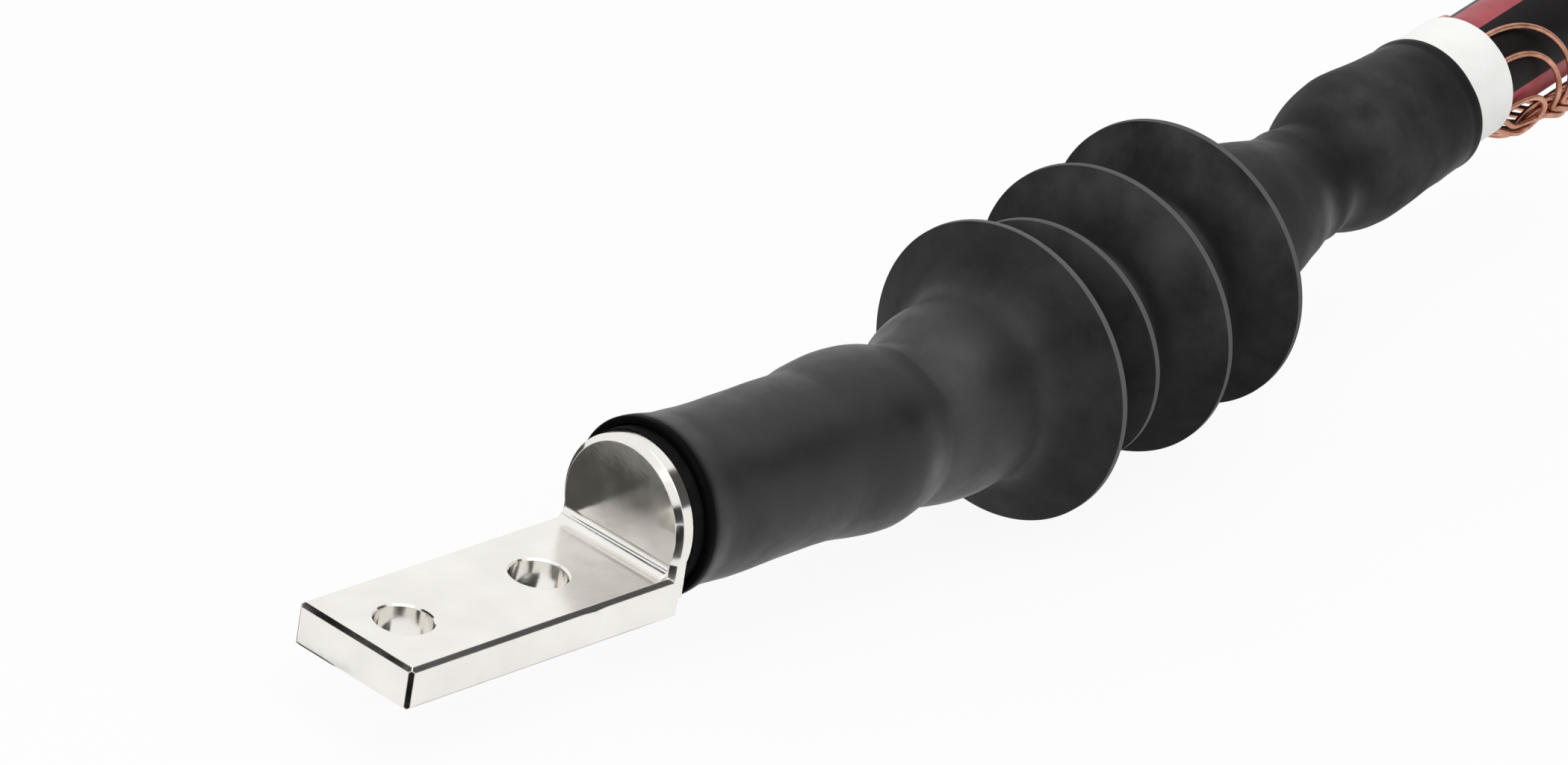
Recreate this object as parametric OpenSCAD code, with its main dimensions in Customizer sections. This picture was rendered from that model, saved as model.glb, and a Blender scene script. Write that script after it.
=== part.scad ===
// Single-core cable termination: two-hole lug, rubber body with sheds, striped cable and twisted neutral wires.
// Millimetres. The origin is the middle of the two bolt holes on the palm's contact face, +Z up through the palm
// and +X along the lug towards the cable. Distances called "at" run along the cable's centre line from the lug's
// shoulder, the flat half-moon face where the palm meets the barrel.

/* [Lug] */
// Diameter of the two bolt holes in the palm
hole_d = 14.3; // [10:0.1:16]
// Distance between the two bolt holes
hole_spacing = 44.45; // [36:0.05:52]
// Distance from the palm's front edge to the first hole
palm_edge = 15.8; // [13:0.1:22]
// Distance from the second hole to the shoulder
palm_heel = 25.6; // [20:0.1:34]
// Width of the palm
palm_w = 38.2; // [30:0.1:40]
// Thickness of the palm
palm_t = 11.3; // [9:0.1:13]
// Bevel along the palm's edges
palm_bevel = 1.1; // [0.4:0.1:1.8]
// Bevel at the rim of each bolt hole
hole_bevel = 0.5; // [0.2:0.1:1]
// Length of the block that carries the palm's sides on behind the shoulder, up to the barrel's axis
palm_run_in = 4.5; // [2:0.1:5.5]
// Fillet in the crease between palm and shoulder
heel_fillet = 3.5; // [1:0.1:5]
// Diameter of the barrel
barrel_d = 39.6; // [38.6:0.1:42]
// Length of the barrel behind the shoulder
barrel_len = 82; // [76:0.5:92]
// Bevel round the rim of the shoulder
shoulder_bevel = 1.5; // [0.5:0.1:2]
// Clearance between the barrel's underside and the contact face
barrel_lift = 0.1; // [0.1:0.1:1]
// Diameter of the conductor bore in the barrel
bore_d = 21; // [19:0.1:24]
// Depth of the conductor bore
bore_depth = 66; // [60:0.5:70]
// Diameter of the shear bolts
bolt_d = 14; // [10:0.5:16]
// Number of shear bolts
bolt_count = 3; // [2:1:3]
// Distance between shear bolts
bolt_spacing = 19; // [17:0.5:20]
// Depth of the broken bolt faces below the barrel's crown
bolt_sink = 2; // [1.6:0.1:3]
// Diameter of the broken neck on each bolt
bolt_neck_d = 7; // [4:0.5:9]

/* [Cable] */
// Diameter of the stranded conductor
conductor_d = 13.4; // [11:0.1:14.4]
// Thickness of the conductor shield
conductor_shield_t = 0.5; // [0.3:0.1:0.8]
// Thickness of the insulation
insulation_t = 4.4; // [4:0.05:4.8]
// Thickness of the insulation shield
shield_t = 0.8; // [0.6:0.1:1]
// Diameter of each neutral wire
wire_d = 1.63; // [1.2:0.01:1.7]
// Thickness of the jacket over the neutral wires
jacket_t = 1; // [0.8:0.05:1.4]
// Gap between the insulation shield and the jacket between the wires
jacket_gap = 0.45; // [0.3:0.05:0.7]
// Depth of the coloured stripes in the jacket
stripe_t = 0.4; // [0.2:0.05:0.6]
// Angle that each stripe covers
stripe_arc = 40; // [20:1:60]
// Turn of the first stripe about the cable
stripe_turn = 38; // [0:1:119]
// Bare conductor between the barrel and the insulation
conductor_gap = 6; // [3:0.5:9]
// Bevel at the cut end of the insulation
insulation_bevel = 2; // [0.5:0.1:3]
// Distance from the third large shed to the cut edge of the insulation shield
shield_cut_gap = 18; // [14:0.5:22]
// Distance from the foot of the body's step to the cut end of the jacket
jacket_cut_gap = 16.7; // [15.2:0.1:20]
// Length of cable behind the white tape
cable_tail = 67; // [55:1:130]

/* [Centre line] */
// Distance from the barrel's rear edge to the first bend
bend_gap = 18.5; // [18:0.5:22]
// Angle of the first bend
bend_1_angle = 6; // [1:0.1:8]
// Distance between the two bends
bend_pitch = 43.5; // [41:0.5:46]
// Angle of the second bend
bend_2_angle = 3.9; // [1:0.1:8]
// How much each layer swells round a bend
bend_swell = 0.12; // [0.06:0.02:0.2]
// Direction of the bends, turned about the lug from sideways to up
bend_roll = 41.3; // [0:0.1:90]

/* [Rubber body] */
// Where the body's front end is
body_front_at = 7.6; // [6:0.1:12]
// Distance from the cut end of the jacket to the body's rear end
body_rear_gap = 37.5; // [32:0.5:44]
// Wall of the body over the barrel
body_wall = 1.6; // [1.2:0.1:3]
// Extra radius of the flared front lip
front_flare = 1.1; // [0.2:0.1:1.5]
// Length of the flared front lip
front_flare_len = 11; // [6:0.5:20]
// Height of the bulge over the barrel's rear edge
bulge_h = 1.7; // [0.5:0.1:3]
// Length of the bulge in front of its crown
bulge_front_len = 20; // [12:0.5:24]
// Length of the bulge behind its crown
bulge_rear_len = 13; // [10:0.5:13]
// Diameter of the body between the sheds
core_d = 42.2; // [40:0.1:44]
// Growth in radius up to the first bend
flare_foot_h = 0.9; // [0.3:0.1:1.5]
// Growth in radius in front of the first shed
flare_h = 3; // [1.6:0.1:4]
// Distance from the first bend to the full flare
flare_len = 11.5; // [8:0.5:16]
// Diameter of the large sheds
shed_d = 76.6; // [70:0.1:90]
// Diameter of the small shed
small_shed_d = 65.4; // [58:0.1:68]
// Distance from the first shed's rim to the second bend
shed_1_lead = 5.8; // [3:0.1:7]
// Distance from the first shed to the small shed
small_shed_pitch = 21.1; // [20.5:0.1:23]
// Distance from the small shed to the second large shed
shed_2_pitch = 23.5; // [22:0.1:30]
// Distance from the second to the third large shed
shed_3_pitch = 31.2; // [25:0.1:35]
// Slope of the sheds against the centre line
shed_slope = 60; // [55:1:75]
// How much the sheds thicken towards the root, as an angle
shed_draft = 3; // [1:0.5:6]
// Thickness of a shed's rim
shed_rim = 2; // [1.2:0.1:3]
// Rounding of the rim's two edges
rim_round = 0.4; // [0.2:0.1:0.5]
// Fillet in front of the first shed
first_fillet = 12; // [6:0.5:14]
// Fillet at the root of the other sheds
shed_fillet = 4; // [2:0.5:6]
// Distance from the third large shed to the body's taper
taper_gap = 24; // [18:0.5:28]
// Length of that taper
taper_len = 31; // [26:0.5:33]
// Wall of the body on the bare insulation shield
neck_wall = 3; // [2.5:0.1:4]
// Length of the straight neck behind the taper
neck_len = 5.3; // [3:0.1:8]
// Length of the step from the neck up to the crown over the jacket
step_len = 19.7; // [17:0.1:21]
// Wall of the body over the step's crown
crown_wall = 2.8; // [2:0.1:4]
// Wall of the body just in front of its rear lip
rear_wall = 1.2; // [1:0.1:3]
// Height of the rear lip
rear_lip = 0.5; // [0.2:0.1:1]
// Length of the rear lip
rear_lip_len = 5; // [3:0.5:8]
// Rounding of the body's end edges
end_round = 0.7; // [0.3:0.1:0.7]

/* [Stress control and seals] */
// Wall of the stress control tube over the insulation
stress_wall = 2.6; // [2:0.1:3.5]
// Length of the stress control tube past the shield's cut edge
stress_overlap = 24; // [16:0.5:28]
// Half the length of the mastic ring on the shield's cut edge
edge_mastic_half = 8; // [5:0.5:10]
// Thickness of that ring over the shield
edge_mastic_t = 0.5; // [0.3:0.1:0.8]
// Thickness of the mastic strip under the body's front end
front_seal_t = 0.5; // [0.3:0.1:1]
// Length of that strip
front_seal_len = 23; // [14:0.5:30]
// Gap between the block behind the shoulder and that strip, which shows in the body's mouth
front_seal_gap = 0.4; // [0.2:0.1:1.5]
// Thickness of the mastic and tape over the folded neutral wires
wrap_t = 0.5; // [0.4:0.05:1]
// Length of the white tape under the body's rear end
tape_lap = 10.5; // [6:0.5:16]
// Length of the white tape behind the body
tape_show = 18.5; // [14:0.5:24]
// Length of the rear mastic's slope up to the folded wires
rear_mastic_slope = 11; // [10:0.5:12]

/* [Neutral wires] */
// Length of pigtail in which the twisted wires make one turn
lay_length = 45; // [40:1:60]
// Distance from the white tape to the middle of the gather into the pigtail
gather_gap = 17; // [15:0.5:23]
// Clearance between the pigtail and the jacket
pigtail_gap = 1.2; // [0.5:0.1:3]
// Turn of the pigtail about the cable
pigtail_turn = 182; // [0:1:359]

/* [Fits] */
// Clearance round each shear bolt, round the insert and round the conductor
fit_gap = 0.1; // [0.05:0.05:0.2]
// Clearance between the layers of the cable and under the body
layer_gap = 0.03; // [0.02:0.01:0.06]
// Clearance on either side of the front mastic strip
seal_gap = 0.05; // [0.02:0.01:0.1]
// Clearance round each neutral wire
wire_gap = 0.05; // [0.03:0.01:0.1]
// Clearance between the wires of the pigtail
lay_gap = 0.14; // [0.1:0.02:0.3]

/* [Hidden] */
$fn = 96;

// Points on a smooth curve, and sides of a neutral wire
CURVE_STEPS = 12;
WIRE_SIDES = 8;
// How far a cut runs past the face that it opens
CUT = 1;
// Half the length of the round joint at a bend
JOINT_HALF = 6;
// How far the bulge's crown lies in front of the barrel's rear edge
BULGE_LEAD = 1;
// How far the pigtail stops short of the cable's cut end
PIGTAIL_SHORT = 2;
// Space in the mastic in front of the folded wires
FOLD_ROOM = 0.2;
STRIPES = 3;
WIRES = 12;
OUTER_WIRES = 9;

shoulder_x = hole_spacing / 2 + palm_heel;
palm_front_x = -hole_spacing / 2 - palm_edge;
palm_rear_x = shoulder_x + palm_run_in;
palm_half_w = palm_w / 2;
barrel_r = barrel_d / 2;
axis_z = barrel_r + barrel_lift;
bore_r = bore_d / 2;
bore_floor_at = barrel_len - bore_depth;
bolt_r = bolt_d / 2;
bolt_first_at = bore_floor_at + bore_depth / 2 - bolt_spacing * (bolt_count - 1) / 2;

// Places along the centre line, each from the one in front of it
bend_1_at = barrel_len + bend_gap;
bend_2_at = bend_1_at + bend_pitch;
shed_1_at = bend_2_at - shed_1_lead;
small_shed_at = shed_1_at + small_shed_pitch;
shed_2_at = small_shed_at + shed_2_pitch;
shed_3_at = shed_2_at + shed_3_pitch;
shield_cut_at = shed_3_at + shield_cut_gap;
taper_at = shed_3_at + taper_gap;
step_at = taper_at + taper_len + neck_len;
jacket_cut_at = step_at + jacket_cut_gap;
body_rear_at = jacket_cut_at + body_rear_gap;
tape_front_at = body_rear_at - tape_lap;
tape_rear_at = body_rear_at + tape_show;
gather_at = tape_rear_at + gather_gap;
cable_end_at = tape_rear_at + cable_tail;

conductor_r = conductor_d / 2;
conductor_shield_r = conductor_r + conductor_shield_t;
insulation_r = conductor_shield_r + insulation_t;
shield_r = insulation_r + shield_t;
wire_r = wire_d / 2;
wire_ring_r = shield_r + wire_gap + wire_r;
jacket_bore_r = shield_r + jacket_gap;
jacket_r = wire_ring_r + wire_r + jacket_t;
insulation_front_at = barrel_len + conductor_gap;

// Neutral wires folded back over the jacket, and the wrap over them
fold_ring_r = jacket_r + wire_gap + wire_r;
wrap_r = fold_ring_r + wire_r + wire_gap;
wrap_top_r = wrap_r + wrap_t;
fold_r = (fold_ring_r - wire_ring_r) / 2;
fold_front_at = jacket_cut_at - fold_r - wire_r - FOLD_ROOM;

// Radii and seats of the body
tube_r = barrel_r + body_wall;
core_r = core_d / 2;
flare_foot_r = core_r + flare_foot_h;
flare_r = core_r + flare_h;
shed_r = shed_d / 2;
small_shed_r = small_shed_d / 2;
neck_r = shield_r + neck_wall;
crown_r = wrap_top_r + crown_wall;
rear_r = wrap_top_r + rear_wall;
stress_r = insulation_r + stress_wall;
stress_rear_at = shield_cut_at + stress_overlap;
edge_mastic_r = shield_r + edge_mastic_t;
front_seal_r = barrel_r + front_seal_t;
front_seal_at = palm_run_in + front_seal_gap;
front_seal_end = front_seal_at + front_seal_len;
bulge_at = barrel_len - BULGE_LEAD;
gap_mastic_at = bulge_at - bulge_front_len;
gap_mastic_end = bulge_at + bulge_rear_len;
gap_mastic_r = barrel_r + bulge_h;

// Pigtail: three wires in the core and nine round them
core_ring_r = (wire_d + lay_gap) / sqrt(3);
outer_ring_r = core_ring_r + wire_d + lay_gap;
pigtail_r = jacket_r + pigtail_gap + outer_ring_r + wire_r;
entry_step = lay_length / OUTER_WIRES;
pigtail_end_at = cable_end_at - PIGTAIL_SHORT;

// Half a cosine wave from 0 to 1
function ease(t) = (1 - cos(180 * t)) / 2;
// Outline points, as [radius, place], easing from one radius and place to another
function eased(r0, at0, r1, at1) =
    [for (k = [0 : CURVE_STEPS]) let (t = k / CURVE_STEPS) [r0 + (r1 - r0) * ease(t), at0 + (at1 - at0) * t]];
// Outline points that leave the first radius and place in a crease and come level at the second
function swelled(r0, at0, r1, at1) =
    [for (k = [0 : CURVE_STEPS]) let (t = k / CURVE_STEPS) [r0 + (r1 - r0) * sin(90 * t), at0 + (at1 - at0) * t]];
// The same points the other way round
function settled(r0, at0, r1, at1) = let (p = swelled(r1, at1, r0, at0)) [for (k = [CURVE_STEPS : -1 : 0]) p[k]];
// Outline points on a circle about [radius, place], with angles turned from the place axis
function arc(r, at, rad, a0, a1) =
    [for (k = [0 : CURVE_STEPS]) let (a = a0 + (a1 - a0) * k / CURVE_STEPS) [r + rad * sin(a), at + rad * cos(a)]];

// Outline of a shed from its front root over the rim to its rear root
function shed(at, rim_r, front_r, rear_r, front_fillet) =
    let (
        half = shed_rim / 2 - rim_round,
        a = shed_slope,
        b = shed_slope + shed_draft,
        edge_r = rim_r - rim_round,
        front_slide = (front_r + front_fillet - edge_r - (rim_round + front_fillet) * cos(a)) / sin(a),
        front_at = at - half - (rim_round + front_fillet) * sin(a) + front_slide * cos(a),
        rear_slide = (rear_r + shed_fillet - edge_r + (rim_round + shed_fillet) * cos(b)) / sin(b),
        rear_at = at + half + (rim_round + shed_fillet) * sin(b) + rear_slide * cos(b)
    )
    concat(
        arc(front_r + front_fillet, front_at, front_fillet, -90, a - 90),
        arc(edge_r, at - half, rim_round, a + 90, 90),
        arc(edge_r, at + half, rim_round, 90, b - 90),
        arc(rear_r + shed_fillet, rear_at, shed_fillet, b + 90, 270)
    );

// Things on the lug, which lies along X
module on_lug() {
    translate([shoulder_x, 0, axis_z]) children();
}

// Straight stretches of the centre line, with the place along the line as the local X
module front_stretch() {
    on_lug() rotate([bend_roll, 0, 0]) children();
}

module middle_stretch() {
    front_stretch()
        translate([bend_1_at, 0, 0])
            rotate([0, 0, bend_1_angle])
                translate([-bend_1_at, 0, 0]) children();
}

module rear_stretch() {
    middle_stretch()
        translate([bend_2_at, 0, 0])
            rotate([0, 0, bend_2_angle])
                translate([-bend_2_at, 0, 0]) children();
}

// Outline of [radius, place] points turned about the local X
module turned(outline) {
    rotate([0, 90, 0]) rotate_extrude() polygon(outline);
}

// Round bar on a straight stretch
module bar(r, from, to) {
    translate([from, 0, 0]) rotate([0, 90, 0]) cylinder(r = r, h = to - from);
}

// Tube on a straight stretch
module tube(outer, inner, from, to) {
    turned([[inner, from], [outer, from], [outer, to], [inner, to]]);
}

// Round joint of a bent bar, a zone of a ball with its poles on the centre line
module joint(r, at) {
    translate([at, 0, 0]) rotate([0, 90, 0]) intersection() {
        sphere(r + bend_swell);
        cylinder(r = r + CUT, h = 2 * JOINT_HALF, center = true);
    }
}

// Bent bar of the front, middle and rear pieces given, with a round joint of radius r_1 and r_2 at the bends
module bent(r_1, r_2) {
    front_stretch() children(0);
    front_stretch() joint(r_1, bend_1_at);
    middle_stretch() children(1);
    middle_stretch() joint(r_2, bend_2_at);
    rear_stretch() children(2);
}

module bent_bar(r, from, to) {
    bent(r, r) {
        bar(r, from, bend_1_at);
        bar(r, bend_1_at, bend_2_at);
        bar(r, bend_2_at, to);
    }
}

// Box outline with bevelled corners
module bevelled(from, to, bevel) {
    polygon([
        [from.x + bevel, from.y], [to.x - bevel, from.y], [to.x, from.y + bevel], [to.x, to.y - bevel],
        [to.x - bevel, to.y], [from.x + bevel, to.y], [from.x, to.y - bevel], [from.x, from.y + bevel]
    ]);
}

// Palm plate, bevelled on every edge
module palm() {
    intersection() {
        linear_extrude(palm_t)
            bevelled([palm_front_x, -palm_half_w], [palm_rear_x, palm_half_w], palm_bevel);
        translate([0, palm_half_w, 0]) rotate([90, 0, 0]) linear_extrude(palm_w)
            bevelled([palm_front_x, 0], [palm_rear_x, palm_t], palm_bevel);
        translate([palm_front_x, 0, 0]) rotate([90, 0, 90]) linear_extrude(palm_rear_x - palm_front_x)
            bevelled([-palm_half_w, 0], [palm_half_w, palm_t], palm_bevel);
    }
}

module bolt_hole() {
    wide_d = hole_d + 2 * (hole_bevel + CUT);
    translate([0, 0, -CUT]) cylinder(d = hole_d, h = palm_t + 2 * CUT);
    translate([0, 0, palm_t - hole_bevel]) cylinder(d1 = hole_d, d2 = wide_d, h = hole_bevel + CUT);
    translate([0, 0, -CUT]) cylinder(d1 = wide_d, d2 = hole_d, h = hole_bevel + CUT);
}

// Concave fillet along the crease at the shoulder
module heel() {
    crease_w = palm_w - 2 * shoulder_bevel;
    sink = 0.5;
    translate([shoulder_x, crease_w / 2, palm_t]) rotate([90, 0, 0]) linear_extrude(crease_w)
        difference() {
            translate([-heel_fillet, -sink]) square([heel_fillet + sink, heel_fillet + sink]);
            translate([-heel_fillet, heel_fillet]) circle(heel_fillet);
        }
}

// Block behind the shoulder, flush with the palm's sides, that makes the shoulder straight-sided below the axis
module cheeks() {
    face_half_w = palm_half_w - shoulder_bevel;
    bevel_x = shoulder_x + shoulder_bevel;
    foot_z = palm_t / 2;
    translate([0, 0, foot_z]) linear_extrude(axis_z - foot_z)
        polygon([
            [shoulder_x, -face_half_w], [bevel_x, -palm_half_w], [palm_rear_x, -palm_half_w],
            [palm_rear_x, palm_half_w], [bevel_x, palm_half_w], [shoulder_x, face_half_w]
        ]);
}

// Places of the shear bolts, with the bolt's axis as the local Z from the lug's axis up
module each_bolt() {
    for (k = [0 : bolt_count - 1])
        on_lug() translate([bolt_first_at + k * bolt_spacing, 0, 0]) children();
}

module lug() {
    color("gainsboro") difference() {
        union() {
            palm();
            cheeks();
            heel();
            on_lug() turned([
                [0, 0], [barrel_r - shoulder_bevel, 0], [barrel_r, shoulder_bevel], [barrel_r, barrel_len],
                [0, barrel_len]
            ]);
        }
        for (side = [-1, 1]) translate([side * hole_spacing / 2, 0, 0]) bolt_hole();
        on_lug() bar(bore_r, bore_floor_at, barrel_len + CUT);
        each_bolt() cylinder(r = bolt_r, h = barrel_r + CUT);
    }
}

// Sleeve that centres the conductor in the bore, open at the top for the bolts
module bore_insert() {
    color("silver") difference() {
        on_lug() tube(bore_r - fit_gap, conductor_r + fit_gap, bore_floor_at, barrel_len);
        each_bolt() cylinder(r = bolt_r + fit_gap, h = barrel_r);
    }
}

// Bolts broken off below the barrel's surface, each with the torn neck of its head
module shear_bolts() {
    bolt_top = barrel_r - bolt_sink;
    neck_h = bolt_sink / 2;
    color("darkgray") each_bolt() {
        translate([0, 0, conductor_r]) cylinder(r = bolt_r - fit_gap, h = bolt_top - conductor_r);
        translate([0, 0, bolt_top]) cylinder(d1 = bolt_neck_d, d2 = bolt_neck_d - neck_h, h = neck_h);
    }
}

module conductor() {
    color("lightgray") bent_bar(conductor_r, bore_floor_at, cable_end_at);
}

module conductor_shield() {
    color("dimgray") difference() {
        bent_bar(conductor_shield_r, insulation_front_at, cable_end_at);
        bent_bar(conductor_r + layer_gap, insulation_front_at - CUT, cable_end_at + CUT);
    }
}

module insulation() {
    color("whitesmoke") difference() {
        bent(insulation_r, insulation_r) {
            turned([
                [0, insulation_front_at], [insulation_r - insulation_bevel, insulation_front_at],
                [insulation_r, insulation_front_at + insulation_bevel], [insulation_r, bend_1_at], [0, bend_1_at]
            ]);
            bar(insulation_r, bend_1_at, bend_2_at);
            bar(insulation_r, bend_2_at, cable_end_at);
        }
        bent_bar(conductor_shield_r + layer_gap, insulation_front_at - CUT, cable_end_at + CUT);
    }
}

module insulation_shield() {
    color("dimgray") rear_stretch() tube(shield_r, insulation_r + layer_gap, shield_cut_at, cable_end_at);
}

// Outline a gap above the mastic ring on the shield's cut edge
function edge_mastic_top(gap) = [
    [insulation_r + gap, shield_cut_at - edge_mastic_half],
    [edge_mastic_r + gap, shield_cut_at - edge_mastic_half / 2],
    [edge_mastic_r + gap, shield_cut_at + edge_mastic_half / 2],
    [shield_r + gap, shield_cut_at + edge_mastic_half]
];

module screen_edge_mastic() {
    color("khaki") rear_stretch() turned(concat(
        edge_mastic_top(0),
        [[shield_r, shield_cut_at], [insulation_r, shield_cut_at]]
    ));
}

module stress_control_tube() {
    bore = insulation_r + layer_gap;
    color("darkslategray") difference() {
        bent_bar(stress_r, gap_mastic_end, stress_rear_at);
        bent(bore, bore) {
            bar(bore, gap_mastic_end - CUT, bend_1_at);
            bar(bore, bend_1_at, bend_2_at);
            turned(concat(
                [[0, bend_2_at], [bore, bend_2_at]],
                edge_mastic_top(layer_gap),
                [[shield_r + layer_gap, stress_rear_at + CUT], [0, stress_rear_at + CUT]]
            ));
        }
    }
}

// Outline a gap above the mastic that fills the room behind the barrel and makes the bulge
function gap_mastic_top(gap) = concat(
    eased(barrel_r + gap, gap_mastic_at, gap_mastic_r + gap, bulge_at),
    eased(gap_mastic_r + gap, bulge_at, stress_r + gap, gap_mastic_end)
);

module lug_gap_mastic() {
    color("olive") front_stretch() turned(concat(
        gap_mastic_top(0),
        [
            [insulation_r, gap_mastic_end], [insulation_r, insulation_front_at + insulation_bevel],
            [insulation_r - insulation_bevel, insulation_front_at], [conductor_r, insulation_front_at],
            [conductor_r, barrel_len], [barrel_r, barrel_len]
        ]
    ));
}

module front_seal_mastic() {
    color("black") on_lug() tube(front_seal_r - seal_gap, barrel_r + seal_gap, front_seal_at, front_seal_end);
}

// Outline a gap above the mastic that seals the folded wires on the jacket
rear_mastic_end = step_at + rear_mastic_slope;
function rear_mastic_top(gap) = eased(shield_r + gap, step_at, wrap_top_r + gap, rear_mastic_end);

module rear_seal_mastic() {
    color("saddlebrown") rear_stretch() turned(concat(
        rear_mastic_top(0),
        [
            [wrap_top_r, tape_front_at], [wrap_r, tape_front_at], [wrap_r, fold_front_at],
            [shield_r, fold_front_at]
        ]
    ));
}

// Front of the body: flared lip, tube over the barrel and bulge
function body_front_outline() =
    let (lip_r = tube_r + front_flare)
    concat(
        [[0, body_front_at]],
        arc(lip_r - end_round, body_front_at + end_round, end_round, 180, 90),
        eased(lip_r, body_front_at + 2 * end_round, tube_r, body_front_at + front_flare_len),
        eased(tube_r, gap_mastic_at, tube_r + bulge_h, bulge_at),
        settled(tube_r + bulge_h, bulge_at, core_r, gap_mastic_end),
        [[flare_foot_r, bend_1_at], [0, bend_1_at]]
    );

// Middle of the body, which carries the first shed
function body_middle_outline() = concat(
    [[0, bend_1_at], [flare_foot_r, bend_1_at], [flare_r, bend_1_at + flare_len]],
    shed(shed_1_at, shed_r, flare_r, core_r, first_fillet),
    [[core_r, bend_2_at], [0, bend_2_at]]
);

// Rear of the body: three sheds, taper, neck, step over the jacket and rear lip
function body_rear_outline() =
    let (
        crown_at = step_at + step_len,
        lip_at = body_rear_at - rear_lip_len,
        lip_r = rear_r + rear_lip
    )
    concat(
        [[0, bend_2_at], [core_r, bend_2_at]],
        shed(small_shed_at, small_shed_r, core_r, core_r, shed_fillet),
        shed(shed_2_at, shed_r, core_r, core_r, shed_fillet),
        shed(shed_3_at, shed_r, core_r, core_r, shed_fillet),
        eased(core_r, taper_at, neck_r, taper_at + taper_len),
        swelled(neck_r, step_at, crown_r, crown_at),
        eased(crown_r, crown_at + end_round, rear_r, lip_at),
        eased(rear_r, lip_at + end_round, lip_r, body_rear_at - 2 * end_round),
        arc(lip_r - end_round, body_rear_at - end_round, end_round, 90, 0),
        [[0, body_rear_at]]
    );

// Space inside the body, filled by the barrel, the mastics, the stress control tube, the shield and the wrap
module body_bore() {
    bore = stress_r + layer_gap;
    bent(bore, bore) {
        turned(concat(
            [
                [0, body_front_at - CUT], [front_seal_r, body_front_at - CUT], [front_seal_r, front_seal_end],
                [barrel_r + layer_gap, front_seal_end]
            ],
            gap_mastic_top(layer_gap),
            [[bore, bend_1_at], [0, bend_1_at]]
        ));
        bar(bore, bend_1_at, bend_2_at);
        turned(concat(
            [[0, bend_2_at], [bore, bend_2_at], [bore, stress_rear_at], [shield_r + layer_gap, stress_rear_at]],
            rear_mastic_top(layer_gap),
            [[wrap_top_r + layer_gap, body_rear_at + CUT], [0, body_rear_at + CUT]]
        ));
    }
}

module termination_body() {
    color("#2e2e31") difference() {
        bent(flare_foot_r, core_r) {
            turned(body_front_outline());
            turned(body_middle_outline());
            turned(body_rear_outline());
        }
        body_bore();
    }
}

// Bands along the jacket for the stripes, a gap wider and deeper and running past its surface and ends
module stripe_bands(gap, past) {
    arc_gap = asin(gap / jacket_r);
    for (k = [0 : STRIPES - 1])
        rear_stretch()
            translate([jacket_cut_at - past, 0, 0])
                rotate([stripe_turn + k * 360 / STRIPES, 0, 0])
                    rotate([0, 90, 0]) rotate([0, 0, 90 - stripe_arc / 2 - arc_gap])
                        rotate_extrude(angle = stripe_arc + 2 * arc_gap)
                            translate([jacket_r - stripe_t - gap, 0])
                                square([stripe_t + gap + past, cable_end_at - jacket_cut_at + 2 * past]);
}

module jacket() {
    color("#1c1a1b") difference() {
        rear_stretch() tube(jacket_r, jacket_bore_r, jacket_cut_at, cable_end_at);
        rear_stretch() for (k = [0 : WIRES - 1])
            rotate([wire_turn(k), 0, 0])
                translate([0, wire_ring_r, 0])
                    bar(wire_r + wire_gap, jacket_cut_at - CUT, cable_end_at + CUT);
        stripe_bands(layer_gap, CUT);
    }
}

module jacket_stripes() {
    color("#b3303c") stripe_bands(0, 0);
}

module white_tape() {
    color("white") rear_stretch() tube(wrap_top_r, wrap_r, tape_front_at, tape_rear_at);
}

// Turn of each neutral wire from the pigtail's side of the cable, under the jacket and where it leaves the tape
WIRE_FIRST_TURN = -111;
FRONT_SHARE = 0.6;
CORE_SHARE = 0.58;
CORE_PHASE = 224;
BACK_SHARE = 0.785;
CORE_LEAD = 1.4;
BACK_LEAD = 1.5;
FREE_LOOPS = 2;
FRONT_WIRES = 3;
CORE_WIRES = WIRES - OUTER_WIRES;
function wire_offset(k) = WIRE_FIRST_TURN + k * 360 / WIRES;
function wire_turn(k) = pigtail_turn + wire_offset(k);
function leaving_offset(k) =
    k < FREE_LOOPS ? wire_offset(k)
    : wire_offset(k) * (in_core(k) ? CORE_SHARE : k < FRONT_WIRES ? FRONT_SHARE : BACK_SHARE);

// Where each wire joins the pigtail, and from which side of it
function in_core(k) = k >= FRONT_WIRES && k < FRONT_WIRES + CORE_WIRES;
function entry_at(k) =
    k < FRONT_WIRES ? gather_at + entry_step * (FRONT_WIRES - 1 - k)
    : in_core(k) ? gather_at - CORE_LEAD * entry_step
    : gather_at + entry_step * (k - FRONT_WIRES - CORE_WIRES - BACK_LEAD);
function entry_phase(k) =
    k < FRONT_WIRES ? -90
    : in_core(k) ? CORE_PHASE + (k - FRONT_WIRES) * 360 / CORE_WIRES
    : 90;

// Point at a radius, turn and place about the cable
function around(at, r, turn) = [at, r * cos(turn), r * sin(turn)];
// Point of a wire in the pigtail, where it has turned on from its entry
function in_pigtail(k, at) =
    let (
        lay_r = in_core(k) ? core_ring_r : outer_ring_r,
        phase = entry_phase(k) + 360 * (at - entry_at(k)) / lay_length,
        r = pigtail_r + lay_r * cos(phase),
        side = lay_r * sin(phase)
    )
    [at, r * cos(pigtail_turn) - side * sin(pigtail_turn), r * sin(pigtail_turn) + side * cos(pigtail_turn)];
// Radius and turn of a point about the cable
function radius_of(p) = norm([p.y, p.z]);
function offset_of(p) =
    let (a = atan2(p.z, p.y) - pigtail_turn)
    a > 180 ? a - 360 : a < -180 ? a + 360 : a;
function bezier(a, b, c, d, t) =
    a * pow(1 - t, 3) + 3 * b * t * pow(1 - t, 2) + 3 * c * pow(t, 2) * (1 - t) + d * pow(t, 3);

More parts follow.
